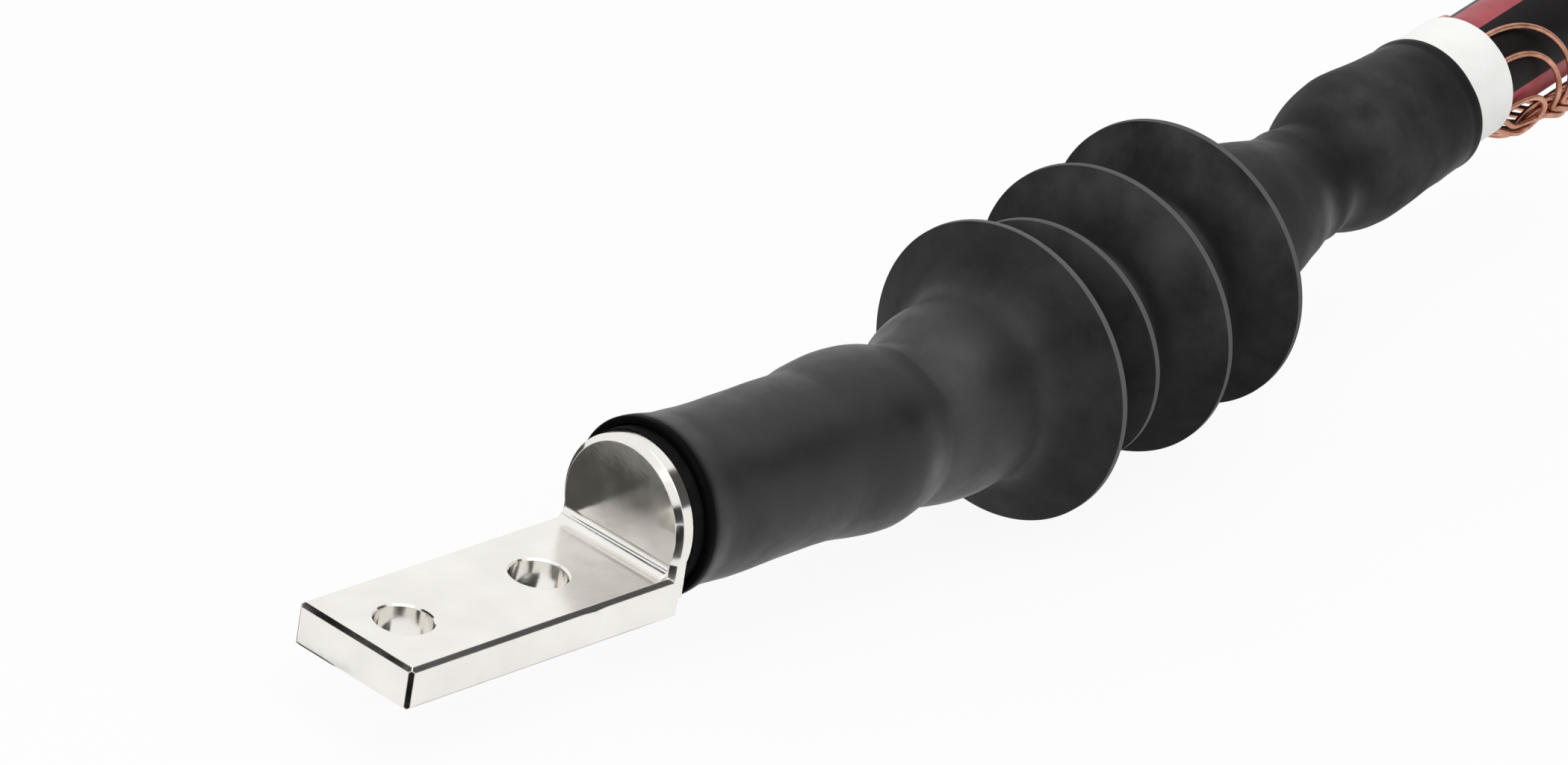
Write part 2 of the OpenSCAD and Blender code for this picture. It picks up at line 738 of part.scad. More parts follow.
// Loop from the tape round the jacket to the pigtail, as [place, radius, turn] blended and put round the cable
LOOP_STEPS = 9;
LOOP_LEAD = 20;
LOOP_BACK = 1;
function wire_loop(k) =
    let (
        first = [tape_rear_at, fold_ring_r, leaving_offset(k)],
        entry = in_pigtail(k, entry_at(k)),
        last = [entry.x, radius_of(entry), offset_of(entry)],
        lead = in_core(k) ? 0 : k < FRONT_WIRES ? -LOOP_LEAD : LOOP_LEAD,
        second = [in_core(k) ? (first.x + last.x) / 2 : last.x, first.y, first.z],
        third = in_core(k) ? [(first.x + last.x) / 2, last.y, last.z] : [last.x - LOOP_BACK, last.y, last.z + lead]
    )
    [for (n = [0 : LOOP_STEPS])
        let (p = bezier(first, second, third, last, n / LOOP_STEPS))
        around(p[0], p[1], pigtail_turn + p[2])];

// Whole route of a wire: along the core, folded over the jacket's end, back under the tape, loop and pigtail
FOLD_STEPS = 4;
BACK_STEPS = 4;
PIGTAIL_STEP = 4;
function wire_route(k) =
    let (
        turn = wire_turn(k),
        out_turn = pigtail_turn + leaving_offset(k),
        fold_mid_r = (wire_ring_r + fold_ring_r) / 2,
        pigtail_steps = ceil((pigtail_end_at - entry_at(k)) / PIGTAIL_STEP)
    )
    concat(
        [around(cable_end_at, wire_ring_r, turn)],
        [for (n = [0 : FOLD_STEPS])
            let (a = 180 * n / FOLD_STEPS)
            around(jacket_cut_at - fold_r * sin(a), fold_mid_r - fold_r * cos(a), turn)],
        [for (n = [1 : BACK_STEPS - 1])
            let (t = n / BACK_STEPS)
            around(jacket_cut_at + t * (tape_rear_at - jacket_cut_at), fold_ring_r,
                turn + (out_turn - turn) * ease(t))],
        wire_loop(k),
        [for (n = [1 : pigtail_steps])
            in_pigtail(k, entry_at(k) + (pigtail_end_at - entry_at(k)) * n / pigtail_steps)]
    );

function unit(v) = v / norm(v);
function along(route, n) = unit(route[min(n + 1, len(route) - 1)] - route[max(n - 1, 0)]);
function across(v, t) = unit(v - (v * t) * t);
// Sideways direction at each point of a route, carried along without twist
function sideways(route, n = 0, side = [0, 0.6, 0.8]) =
    n == len(route) ? []
    : let (s = across(side, along(route, n))) concat([s], sideways(route, n + 1, s));

// Round wire swept along a route
module wire(route) {
    side = sideways(route);
    last = len(route) - 1;
    points = [for (n = [0 : last])
        let (up = cross(along(route, n), side[n]))
        for (k = [0 : WIRE_SIDES - 1])
            let (a = 360 * k / WIRE_SIDES) route[n] + wire_r * (cos(a) * side[n] + sin(a) * up)];
    walls = [for (n = [0 : last - 1]) for (k = [0 : WIRE_SIDES - 1])
        let (next = (k + 1) % WIRE_SIDES, base = n * WIRE_SIDES)
        [base + k, base + WIRE_SIDES + k, base + WIRE_SIDES + next, base + next]];
    ends = [
        [for (k = [0 : WIRE_SIDES - 1]) k],
        [for (k = [WIRE_SIDES - 1 : -1 : 0]) last * WIRE_SIDES + k]
    ];
    polyhedron(points, concat(walls, ends));
}

module neutral_wires() {
    color("#c98a6b") rear_stretch() for (k = [0 : WIRES - 1]) wire(wire_route(k));
}

lug();
bore_insert();
shear_bolts();
conductor();
conductor_shield();
insulation();
insulation_shield();
stress_control_tube();
screen_edge_mastic();
lug_gap_mastic();
front_seal_mastic();
rear_seal_mastic();
termination_body();
jacket();
jacket_stripes();
neutral_wires();
white_tape();
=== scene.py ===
import math

import bpy
import numpy as np
from mathutils import Matrix, Vector


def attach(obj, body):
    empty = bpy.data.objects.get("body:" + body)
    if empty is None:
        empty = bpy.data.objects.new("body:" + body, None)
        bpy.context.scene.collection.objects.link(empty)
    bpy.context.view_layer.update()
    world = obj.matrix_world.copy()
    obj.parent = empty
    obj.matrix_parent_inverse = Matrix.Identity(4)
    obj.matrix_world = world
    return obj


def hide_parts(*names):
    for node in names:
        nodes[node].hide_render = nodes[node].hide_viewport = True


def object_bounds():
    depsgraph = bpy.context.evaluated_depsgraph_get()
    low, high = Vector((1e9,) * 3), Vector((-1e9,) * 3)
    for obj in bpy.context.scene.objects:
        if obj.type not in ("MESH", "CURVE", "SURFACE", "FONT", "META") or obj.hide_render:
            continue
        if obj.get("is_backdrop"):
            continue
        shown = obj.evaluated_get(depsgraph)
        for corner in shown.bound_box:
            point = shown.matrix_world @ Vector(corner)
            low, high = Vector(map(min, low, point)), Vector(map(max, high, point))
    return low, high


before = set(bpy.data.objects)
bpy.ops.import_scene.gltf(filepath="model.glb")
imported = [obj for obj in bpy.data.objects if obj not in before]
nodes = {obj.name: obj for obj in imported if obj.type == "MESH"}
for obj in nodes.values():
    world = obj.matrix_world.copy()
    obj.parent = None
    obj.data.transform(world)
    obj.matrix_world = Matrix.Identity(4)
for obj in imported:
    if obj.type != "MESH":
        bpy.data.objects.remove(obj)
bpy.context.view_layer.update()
scene = bpy.context.scene
MM = 0.001

# Sizes of the part in millimetres, as in its source; AT is a place on the centre line, behind the shoulder
SHOULDER_X, AXIS_Z = 47.825, 19.9
BEND_1_AT, BEND_1 = 100.5, math.radians(6.0)
BEND_2_AT, BEND_2 = 144.0, math.radians(3.9)
ROLL = math.radians(41.3)
BARREL_R, STRESS_R, SHIELD_R, JACKET_R = 19.8, 14.2, 12.4, 15.08
CONDUCTOR_R, BORE_FLOOR_AT, CABLE_END_AT = 6.7, 16.0, 414.0
BODY_FRONT_AT, BODY_REAR_AT, END_ROUND = 7.6, 328.5, 0.7
TUBE_R, LIP_R, LIP_LEN, CORE_R = 21.4, 22.5, 11.0, 21.1
FLARE_R, FLARE_TOP_AT, FLARE_FILLET = 24.1, 115.0, 12.0
BULGE_AT, BULGE_FRONT, BULGE_REAR, BULGE_H = 81.0, 20.0, 13.0, 1.7
SHED_1_AT, SMALL_AT, SHED_2_AT, SHED_3_AT = 138.2, 159.3, 182.8, 214.0
SHED_R, SMALL_R = 38.3, 32.7
SHED_SLOPE, SHED_DRAFT, SHED_RIM, RIM_ROUND, SHED_FILLET = 60.0, 3.0, 2.0, 0.4, 4.0
NECK_R, CROWN_R, REAR_R, REAR_LIP_R = 15.4, 20.11, 18.51, 19.01
TAPER_AT, TAPER_END, STEP_AT, CROWN_AT, REAR_LIP_AT = 238.0, 269.0, 274.3, 294.0, 323.5
WRAP_R, WRAP_TOP_R, TAPE_FRONT_AT, TAPE_REAR_AT = 16.81, 17.31, 318.0, 347.0
FRONT_SEAL_R, FRONT_SEAL_END, SEAL_STEP = 20.3, 27.9, 0.4
STRESS_REAR_AT, REAR_MASTIC_END, LAYER = 256.0, 285.3, 0.03


def share(value, span):
    """How far a value has come through a span, from 0 to 1."""
    return np.clip(value / span, 0, 1)


# Centre line: straight lug, then two gentle bends in one plane
SIDE = Vector((0, math.cos(ROLL), math.sin(ROLL)))
UP = Vector((0, -math.sin(ROLL), math.cos(ROLL)))
BEND_HALF = 13.0
LINE_STEP, LINE_OVER = 0.25, 2


def bend_angle(at):
    """Angle turned so far, growing evenly through each bend."""
    first = share(at - BEND_1_AT + BEND_HALF, 2 * BEND_HALF)
    second = share(at - BEND_2_AT + BEND_HALF, 2 * BEND_HALF)
    return BEND_1 * first + BEND_2 * second


LINE_AT = np.arange(0, CABLE_END_AT + LINE_OVER, LINE_STEP)
STEP_ANGLE = bend_angle(LINE_AT[:-1] + LINE_STEP / 2)
LINE_X = np.concatenate([[0.0], np.cumsum(LINE_STEP * np.cos(STEP_ANGLE))])
LINE_Y = np.concatenate([[0.0], np.cumsum(LINE_STEP * np.sin(STEP_ANGLE))])


def on_line(at, y, z):
    """Points at places along the centre line, y towards the bends and z square to them, in metres."""
    at, y, z = np.broadcast_arrays(np.asarray(at, float), np.asarray(y, float), np.asarray(z, float))
    a = bend_angle(at)
    lx = np.interp(at, LINE_AT, LINE_X) - y * np.sin(a)
    ly = np.interp(at, LINE_AT, LINE_Y) + y * np.cos(a)
    out = np.stack([
        SHOULDER_X + lx,
        ly * SIDE.y + z * UP.y,
        AXIS_Z + ly * SIDE.z + z * UP.z,
    ], -1)
    return out * MM


# Meshes
SIDES = 180
TURN = np.linspace(0, 2 * math.pi, SIDES, endpoint=False)


def all_round(outline):
    """Radius and place of an outline's points, each for every turn round the centre line."""
    return outline[:, :1] + 0 * TURN, outline[:, 1:] + 0 * TURN


def revolved(r, at):
    return on_line(at, r * np.cos(TURN), r * np.sin(TURN))


def add_mesh(name, verts, faces, smooth=True):
    mesh = bpy.data.meshes.new(name)
    mesh.from_pydata(np.asarray(verts).reshape(-1, 3).tolist(), [], faces)
    mesh.update()
    if smooth:
        mesh.shade_smooth()
    obj = bpy.data.objects.new(name, mesh)
    scene.collection.objects.link(obj)
    return obj


def loop_faces(rings, sides, closed):
    """Quads between rings of points, and between the last ring and the first where closed."""
    faces = []
    for i in range(rings if closed else rings - 1):
        a, b = i * sides, ((i + 1) % rings) * sides
        for k in range(sides):
            n = (k + 1) % sides
            faces.append((a + k, a + n, b + n, b + k))
    return faces


WAVES, OCTAVES, FINER = 7, 2, 0.5
WAVE_SPREAD, WAVE_SUM = (0.7, 1.5), 4.0


def smooth_noise(points, size, seed):
    """Soft noise from seeded waves, about -1 to 1, with features of a size in millimetres."""
    rng = np.random.default_rng(seed)
    total = np.zeros(points.shape[:-1])
    for octave in range(OCTAVES):
        fine = FINER ** octave
        for _ in range(WAVES):
            way = rng.normal(size=3)
            way *= 2 * math.pi / (size * fine * rng.uniform(*WAVE_SPREAD)) / np.linalg.norm(way)
            total += fine * np.sin(points @ way + rng.uniform(0, 2 * math.pi))
    return total / WAVE_SUM


# Outline of the rubber body, as radius and place
POINT_GAP, SAME_POINT = 2.0, 0.02


def eased(r0, at0, r1, at1, steps=18):
    """Level at both ends."""
    t = np.linspace(0, 1, steps + 1)
    return [(r0 + (r1 - r0) * (1 - math.cos(math.pi * u)) / 2, at0 + (at1 - at0) * u) for u in t]


def swelled(r0, at0, r1, at1, steps=18):
    """Creased at the first point and level at the last."""
    t = np.linspace(0, 1, steps + 1)
    return [(r0 + (r1 - r0) * math.sin(math.pi * u / 2), at0 + (at1 - at0) * u) for u in t]


def arc(r, at, rad, a0, a1, steps=12):
    out = []
    for u in np.linspace(0, 1, steps + 1):
        a = math.radians(a0 + (a1 - a0) * u)
        out.append((r + rad * math.sin(a), at + rad * math.cos(a)))
    return out


def between(p, q, steps):
    return [(p[0] + (q[0] - p[0]) * k / steps, p[1] + (q[1] - p[1]) * k / steps) for k in range(1, steps)]


def shed(at, rim_r, front_r, rear_r, fillet):
    """Front root with its fillet, front face, rounded rim, rear face and rear root."""
    half, edge_r = SHED_RIM / 2 - RIM_ROUND, rim_r - RIM_ROUND
    a, b = math.radians(SHED_SLOPE), math.radians(SHED_SLOPE + SHED_DRAFT)
    slide = (front_r + fillet - edge_r - (RIM_ROUND + fillet) * math.cos(a)) / math.sin(a)
    front_at = at - half - (RIM_ROUND + fillet) * math.sin(a) + slide * math.cos(a)
    back = (rear_r + SHED_FILLET - edge_r + (RIM_ROUND + SHED_FILLET) * math.cos(b)) / math.sin(b)
    rear_at = at + half + (RIM_ROUND + SHED_FILLET) * math.sin(b) + back * math.cos(b)
    front_root = arc(front_r + fillet, front_at, fillet, -90, SHED_SLOPE - 90)
    front_edge = arc(edge_r, at - half, RIM_ROUND, SHED_SLOPE + 90, 90, 5)
    rear_edge = arc(edge_r, at + half, RIM_ROUND, 90, SHED_SLOPE + SHED_DRAFT - 90, 5)
    rear_root = arc(rear_r + SHED_FILLET, rear_at, SHED_FILLET, SHED_SLOPE + SHED_DRAFT + 90, 270)
    front = front_root + between(front_root[-1], front_edge[0], 12) + front_edge
    return front + rear_edge + between(rear_edge[-1], rear_root[0], 10) + rear_root


def run(parts):
    """Joins stretches of outline, with points every few millimetres between them and no point twice."""
    out = []
    for part in parts:
        if out:
            gap = math.dist(out[-1], part[0])
            out += between(out[-1], part[0], max(1, int(gap / POINT_GAP)))
        for p in part:
            if not out or math.dist(out[-1], p) > SAME_POINT:
                out.append(p)
    return out


OUTSIDE = np.array(run([
    arc(LIP_R - END_ROUND, BODY_FRONT_AT + END_ROUND, END_ROUND, 180, 90),
    eased(LIP_R, BODY_FRONT_AT + 2 * END_ROUND, TUBE_R, BODY_FRONT_AT + LIP_LEN),
    eased(TUBE_R, BULGE_AT - BULGE_FRONT, TUBE_R + BULGE_H, BULGE_AT),
    swelled(CORE_R, BULGE_AT + BULGE_REAR, TUBE_R + BULGE_H, BULGE_AT)[::-1],
    swelled(CORE_R, BULGE_AT + BULGE_REAR, FLARE_R, FLARE_TOP_AT),
    shed(SHED_1_AT, SHED_R, FLARE_R, CORE_R, FLARE_FILLET),
    shed(SMALL_AT, SMALL_R, CORE_R, CORE_R, SHED_FILLET),
    shed(SHED_2_AT, SHED_R, CORE_R, CORE_R, SHED_FILLET),
    shed(SHED_3_AT, SHED_R, CORE_R, CORE_R, SHED_FILLET),
    eased(CORE_R, TAPER_AT, NECK_R, TAPER_END),
    swelled(NECK_R, STEP_AT, CROWN_R, CROWN_AT),
    eased(CROWN_R, CROWN_AT + END_ROUND, REAR_R, REAR_LIP_AT),
    eased(REAR_R, REAR_LIP_AT + END_ROUND, REAR_LIP_R, BODY_REAR_AT - 2 * END_ROUND, 8),
    arc(REAR_LIP_R - END_ROUND, BODY_REAR_AT - END_ROUND, END_ROUND, 90, 0),
]))
# Places at which the bore follows the bends, and the mouth's rounding as steps outwards and back
BORE_AT = (STRESS_REAR_AT, 200.0, 160.0, BEND_2_AT, 122.0, 100.0, BULGE_AT + BULGE_REAR)
MOUTH = ((0.0, 1.0), (0.1, 0.2), (0.4, 0.0))
INSIDE = np.array([
    (WRAP_TOP_R + LAYER, BODY_REAR_AT), (WRAP_TOP_R + LAYER, REAR_MASTIC_END),
    (SHIELD_R + LAYER, STEP_AT), (SHIELD_R + LAYER, STRESS_REAR_AT),
    *((STRESS_R + LAYER, at) for at in BORE_AT),
    (BARREL_R + BULGE_H + LAYER, BULGE_AT), (BARREL_R + LAYER, BULGE_AT - BULGE_FRONT),
    (BARREL_R + LAYER, FRONT_SEAL_END), (FRONT_SEAL_R, FRONT_SEAL_END - SEAL_STEP),
    *((FRONT_SEAL_R + out, BODY_FRONT_AT + back) for out, back in MOUTH),
])
RADII, PLACES = OUTSIDE[:, :1], OUTSIDE[:, 1:]


def by_place(table):
    return np.interp(PLACES, *zip(*table))


# Shrunk rubber follows what lies under it. Height, size and seed of its soft lumps, and where they fade
LUMPS = ((0.20, 34.0, 11), (0.07, 13.0, 12))
LUMPS_TO_R, LUMPS_FADE, LEAST_LUMPS = 26.0, 4.0, 0.15
FRONT_FADE, REAR_FADE = 6.0, 8.0
# Shrunk by hand, the tube sits off its centre line. Place and shift outwards, on its top and on its underside
TOP_TURN = math.radians(11.0)
TOP_SHIFT = (
    (16, 0), (26, -0.8), (35, -1.05), (45, -1.0), (62, -0.8), (67, -0.1), (75, -0.1), (93, -0.8),
    (98.5, -2.4), (103, -1.8), (110, -0.5), (118, 0), (238, 0), (258, -0.9), (267.5, 0.1), (272, -0.9),
    (275, -1.4), (281, -0.7), (297, 0.35), (306, -0.3), (320, -0.6), (329, -1.0),
)
UNDER_SHIFT = (
    (16, 0), (26, 0.8), (36, 0.45), (62, 0.35), (70, 0.7), (82, 0.7), (93, 0), (238, 0), (252, 0.8),
    (258, 1.3), (266, 1.0), (269, 1.4), (272, 1.0), (275, -0.2), (280, 0.55), (300, 0.65), (310, 0.95),
    (317, 1.5), (329, 1.4),
)
# Hollow on the far side, behind the bulge
NOTCH_AT, NOTCH_LEN, NOTCH_DEPTH, NOTCH_TURN = 105.0, 6.0, 1.8, math.radians(35.0)
# Shed from and to, growth all round, growth and lean forwards underneath, lean backwards on top
SHED_SHIFT = (
    (118, 150, 0.7, 0.0, 1.0, 1.2),
    (168, 200, 0.0, 0.9, 0.6, 0.0),
    (200, 232, 0.0, 0.6, 0.0, 0.0),
)
FLANK_R, FLANK_H = 25.0, 13.0
FLANK = share(RADII - FLANK_R, FLANK_H)
# The rear lip shows only on top, and the rear end lies further back underneath
LIP_LESS, LIP_FADE = 0.25, 2.5
REAR_HANG, REAR_HANG_LEN = 1.2, 10.0
# Least rubber over the barrel and over the wrapped wires
BARREL_COVER, WRAP_COVER = 0.6, 0.2


def rubber_surface():
    """Radius and place of the rubber's outside for every turn."""
    r, at = all_round(OUTSIDE)
    flat = np.stack([at, r * np.cos(TURN), r * np.sin(TURN)], -1)
    room = np.clip((LUMPS_TO_R - RADII) / LUMPS_FADE, LEAST_LUMPS, 1.0)
    ends = share(PLACES - BODY_FRONT_AT, FRONT_FADE) * share(BODY_REAR_AT - PLACES, REAR_FADE)
    r = r + room * ends * sum(height * smooth_noise(flat, size, seed) for height, size, seed in LUMPS)
    up = np.cos(TURN - TOP_TURN)
    top, under = np.clip(up, 0, 1), np.clip(-up, 0, 1)
    r = r + by_place(TOP_SHIFT) * top + by_place(UNDER_SHIFT) * under
    far = np.clip(np.cos(TURN + NOTCH_TURN), 0, 1) ** 2
    r = r - NOTCH_DEPTH * np.exp(-((PLACES - NOTCH_AT) / NOTCH_LEN) ** 2) * far
    for first, last, grown, hung, lean, back in SHED_SHIFT:
        here = FLANK * (PLACES > first) * (PLACES < last)
        r = r + here * (grown + hung * under)
        at = at - here * lean * under + here * back * top
    r = r - LIP_LESS * (1 - up) * share(PLACES - REAR_LIP_AT, LIP_FADE)
    at = at + REAR_HANG * under * share(PLACES - TAPE_FRONT_AT, REAR_HANG_LEN)
    r = np.where(PLACES < BULGE_AT - BULGE_FRONT, np.maximum(r, BARREL_R + BARREL_COVER), r)
    r = np.where(PLACES > REAR_MASTIC_END, np.maximum(r, WRAP_TOP_R + WRAP_COVER), r)
    return r, at


# Finish of the rubber. Place and gloss: most on the front tube and its groove, none at the rear
SHINE = ((90, 0.60), (106, 0.72), (120, 0.55), (150, 0.34), (220, 0.24), (260, 0.0))
SHED_SHINE_LESS, SHED_FOOT_R, SHED_FOOT_H, SHEDS_FROM = 0.36, 23.5, 3.0, 110
# Place and dullness; higher values lighten the base, partly dull rubber, partly painted light lifting the shed
# faces that their neighbours shade
MATTE_AND_PAINTED_LIGHT = (
    (116, 0), (128, 0.42), (225, 0.5), (238, 0.3), (246, 0.0), (273, 0.0), (286, 0.62), (303, 0.6),
    (313, 0.15), (328, 0.0),
)
MOST_MATTE_AND_LIGHT = 1.4
# Painted light on the upper flanks of the sheds, and painted shade deep between them
SHED_TOP_LIGHT, SHED_TOP_LIGHT_TURN, SHED_PAINT_FROM = 0.9, math.radians(48.0), 145
DEEP_SHADE_LESS, DEEP_R, DEEP_FADE, DEEP_TO = 0.5, 27.0, 3.0, 225
# Glossy streaks and painted light patches: place and length, degrees round the tube and spread, strength
STREAKS = (
    (88, 3.5, 142, 22, 1.3), (97, 5, 150, 35, 0.6), (110, 9, 80, 28, 0.35), (259.5, 3, 132, 22, 0.7),
    (275, 2.5, 150, 20, 0.8),
)
# Painted light: these patches lighten the base on the rear bulge and the flare, for soft highlights
PAINTED_LIGHT_PATCHES = ((286, 7, 75, 30, 0.75), (101, 6, 80, 45, 0.75))
# Painted shade on the front end, near black for the shadowed gap at the lug, and how far the painted highlight
# of the pale shed rims reaches into their rounded edges
PAINTED_SHADE_LEN, PAINTED_SHADE_FADE, PAINTED_SHADE_SHINE_LESS = 4.0, 2.5, 0.8
RIM_HIGHLIGHT_DEPTH = 0.1


def patches(table):
    degrees = np.degrees(TURN)
    total = 0.0
    for place, length, side, spread, strength in table:
        total = total + strength * np.exp(-((PLACES - place) / length) ** 2 - ((degrees - side) / spread) ** 2)
    return total


def rubber_finish():
    """Values on the rubber's outside that steer its material, each with its value on the inside."""
    rim = 0.0 * RADII
    # Painted highlight: a pale band on each shed rim, for the light the rims catch
    for place, rim_r in ((SHED_1_AT, SHED_R), (SMALL_AT, SMALL_R), (SHED_2_AT, SHED_R), (SHED_3_AT, SHED_R)):
        rim[(abs(PLACES - place) < SHED_RIM) & (RADII > rim_r - RIM_HIGHLIGHT_DEPTH)] = 1.0
    # Painted shade: the front end fades to near black and loses its shine, for the shadow in the gap at the
    # lug
    painted_shade_end = share(BODY_FRONT_AT + PAINTED_SHADE_LEN - PLACES, PAINTED_SHADE_FADE)
    gloss = by_place(SHINE) - SHED_SHINE_LESS * share(RADII - SHED_FOOT_R, SHED_FOOT_H) * (PLACES > SHEDS_FROM)
    gloss = gloss + patches(STREAKS) - PAINTED_SHADE_SHINE_LESS * painted_shade_end
    # Painted light: the sheds' upper flanks get a lighter base, for the light from above
    painted_top_light = SHED_TOP_LIGHT * FLANK * (PLACES > SHED_PAINT_FROM) * np.clip(np.cos(TURN - SHED_TOP_LIGHT_TURN), 0, 1)
    # Painted shade: a darker base deep between the sheds, where their neighbours shade them
    deep_painted_shade = DEEP_SHADE_LESS * share(DEEP_R - RADII, DEEP_FADE) * (PLACES > SHED_PAINT_FROM) * (PLACES < DEEP_TO)
    # Dullness with painted light and painted shade mixed in; it lightens and roughens the base
    matte = np.clip(by_place(MATTE_AND_PAINTED_LIGHT) + painted_top_light - deep_painted_shade + patches(PAINTED_LIGHT_PATCHES), 0, MOST_MATTE_AND_LIGHT)
    return {"rim": (rim, 0.0), "gloss": (gloss, 0.0), "matte": (matte, 0.0), "end": (painted_shade_end, 1.0)}


def rubber_body():
    rings = len(OUTSIDE) + len(INSIDE)
    verts = np.concatenate([revolved(*rubber_surface()), revolved(*all_round(INSIDE))])
    obj = add_mesh("rubber_body", verts, loop_faces(rings, SIDES, True))
    for name, (outer, inner) in rubber_finish().items():
        values = np.full((rings, SIDES), inner)
        values[:len(OUTSIDE)] = outer
        obj.data.attributes.new(name, "FLOAT", "POINT").data.foreach_set("value", values.ravel())
    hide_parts("termination_body")
    return obj


# Neutral wires: the routes of the part's source, in finer steps; turns in degrees
WIRE_R, WIRE_GAP, LAY_GAP = 0.815, 0.05, 0.14
WIRES, OUTER_WIRES, FRONT_WIRES, CORE_WIRES, FREE_LOOPS = 12, 9, 3, 3, 2
WIRE_RING_R = SHIELD_R + WIRE_GAP + WIRE_R
FOLD_RING_R = JACKET_R + WIRE_GAP + WIRE_R
JACKET_CUT_AT, GATHER_AT, LAY_LENGTH, PIGTAIL_TURN = 291.0, 364.0, 45.0, 182.0
CORE_RING_R = (2 * WIRE_R + LAY_GAP) / math.sqrt(3)
OUTER_RING_R = CORE_RING_R + 2 * WIRE_R + LAY_GAP
PIGTAIL_GAP = 1.2
PIGTAIL_R = JACKET_R + PIGTAIL_GAP + OUTER_RING_R + WIRE_R
ENTRY_STEP = LAY_LENGTH / OUTER_WIRES
PIGTAIL_SHORT, WIRE_OVER, WIRE_STRAIGHT_TO = 2, 0.02, 350
PIGTAIL_END_AT = CABLE_END_AT - PIGTAIL_SHORT
FIRST_OFFSET = -111
CORE_GATHER, FRONT_GATHER, REAR_GATHER = 0.58, 0.6, 0.785
CORE_LEAD, REAR_LEAD, LOOP_LEAD = 1.4, 1.5, 20
FRONT_PHASE, CORE_PHASE, REAR_PHASE = -90, 224, 90
FOLD_POINTS, TAPE_POINTS, LOOP_STEPS, PIGTAIL_STEP, WIRE_SIDES = 10, 16, 30, 1.2, 14


def in_core(k):
    return FRONT_WIRES <= k < FRONT_WIRES + CORE_WIRES


def wire_offset(k):
    return FIRST_OFFSET + k * 360 / WIRES


def leaving_offset(k):
    if k < FREE_LOOPS:
        return wire_offset(k)
    return wire_offset(k) * (CORE_GATHER if in_core(k) else FRONT_GATHER if k < FRONT_WIRES else REAR_GATHER)


def entry_at(k):
    if k < FRONT_WIRES:
        return GATHER_AT + ENTRY_STEP * (FRONT_WIRES - 1 - k)
    if in_core(k):
        return GATHER_AT - CORE_LEAD * ENTRY_STEP
    return GATHER_AT + ENTRY_STEP * (k - FRONT_WIRES - CORE_WIRES - REAR_LEAD)


def entry_phase(k):
    if k < FRONT_WIRES:
        return FRONT_PHASE
    return CORE_PHASE + (k - FRONT_WIRES) * 360 / CORE_WIRES if in_core(k) else REAR_PHASE


def around(at, r, turn):
    return np.array([at, r * math.cos(math.radians(turn)), r * math.sin(math.radians(turn))])


def in_pigtail(k, at):
    lay_r = CORE_RING_R if in_core(k) else OUTER_RING_R
    phase = math.radians(entry_phase(k) + 360 * (at - entry_at(k)) / LAY_LENGTH)
    r, side = PIGTAIL_R + lay_r * math.cos(phase), lay_r * math.sin(phase)
    c, s = math.cos(math.radians(PIGTAIL_TURN)), math.sin(math.radians(PIGTAIL_TURN))
    return np.array([at, r * c - side * s, r * s + side * c])


def wire_loop(k):
    """Curve from the tape's rear edge to the wire's place in the pigtail."""
    first = np.array([TAPE_REAR_AT, FOLD_RING_R, leaving_offset(k)])
    entry = in_pigtail(k, entry_at(k))
    off = math.degrees(math.atan2(entry[2], entry[1])) - PIGTAIL_TURN
    last = np.array([entry[0], math.hypot(entry[1], entry[2]), (off + 180) % 360 - 180])
    lead = 0 if in_core(k) else -LOOP_LEAD if k < FRONT_WIRES else LOOP_LEAD
    mid = (first[0] + last[0]) / 2
    second = np.array([mid if in_core(k) else last[0], first[1], first[2]])
    third = np.array([mid if in_core(k) else last[0] - 1, last[1], last[2] + lead])
    out = []
    for t in np.linspace(0, 1, LOOP_STEPS + 1):
        p = first * (1 - t) ** 3 + 3 * second * t * (1 - t) ** 2 + 3 * third * t * t * (1 - t) + last * t ** 3
        out.append(around(p[0], p[1], PIGTAIL_TURN + p[2]))
    return out


def wire_route(k):
    """From the cable's end under the jacket to its cut end, back under the tape, and into the pigtail."""
    turn, out_turn = PIGTAIL_TURN + wire_offset(k), PIGTAIL_TURN + leaving_offset(k)
    fold_r, mid_r = (FOLD_RING_R - WIRE_RING_R) / 2, (FOLD_RING_R + WIRE_RING_R) / 2
    route = [
        around(CABLE_END_AT + WIRE_OVER, WIRE_RING_R, turn),
        around(WIRE_STRAIGHT_TO, WIRE_RING_R, turn),
    ]
    for a in np.linspace(0, math.pi, FOLD_POINTS):
        route.append(around(JACKET_CUT_AT - fold_r * math.sin(a), mid_r - fold_r * math.cos(a), turn))
    for t in np.linspace(0, 1, TAPE_POINTS)[1:-1]:
        at = JACKET_CUT_AT + t * (TAPE_REAR_AT - JACKET_CUT_AT)
        ease = (1 - math.cos(math.pi * t)) / 2
        route.append(around(at, FOLD_RING_R, turn + (out_turn - turn) * ease))
    route += wire_loop(k)
    length = PIGTAIL_END_AT - entry_at(k)
    steps = math.ceil(length / PIGTAIL_STEP)
    for n in range(1, steps + 1):
        route.append(in_pigtail(k, entry_at(k) + length * n / steps))
    return np.array(route)


FIRST_SIDE = (0.0, 0.6, 0.8)


def tube(points, radius, sides):
    """Rings of points round a path, carried along without twist, and its faces with both ends closed."""
    way = np.gradient(points, axis=0)
    way /= np.linalg.norm(way, axis=1)[:, None]
    side = np.array(FIRST_SIDE)
    verts = []
    for p, t in zip(points, way):
        side = side - (side @ t) * t
        side /= np.linalg.norm(side)
        up = np.cross(t, side)
        for k in range(sides):
            a = 2 * math.pi * k / sides
            verts.append(p + radius * (math.cos(a) * side + math.sin(a) * up))
    faces = loop_faces(len(points), sides, False)
    last = (len(points) - 1) * sides
    faces.append(tuple(range(sides - 1, -1, -1)))
    faces.append(tuple(last + k for k in range(sides)))
    return verts, faces


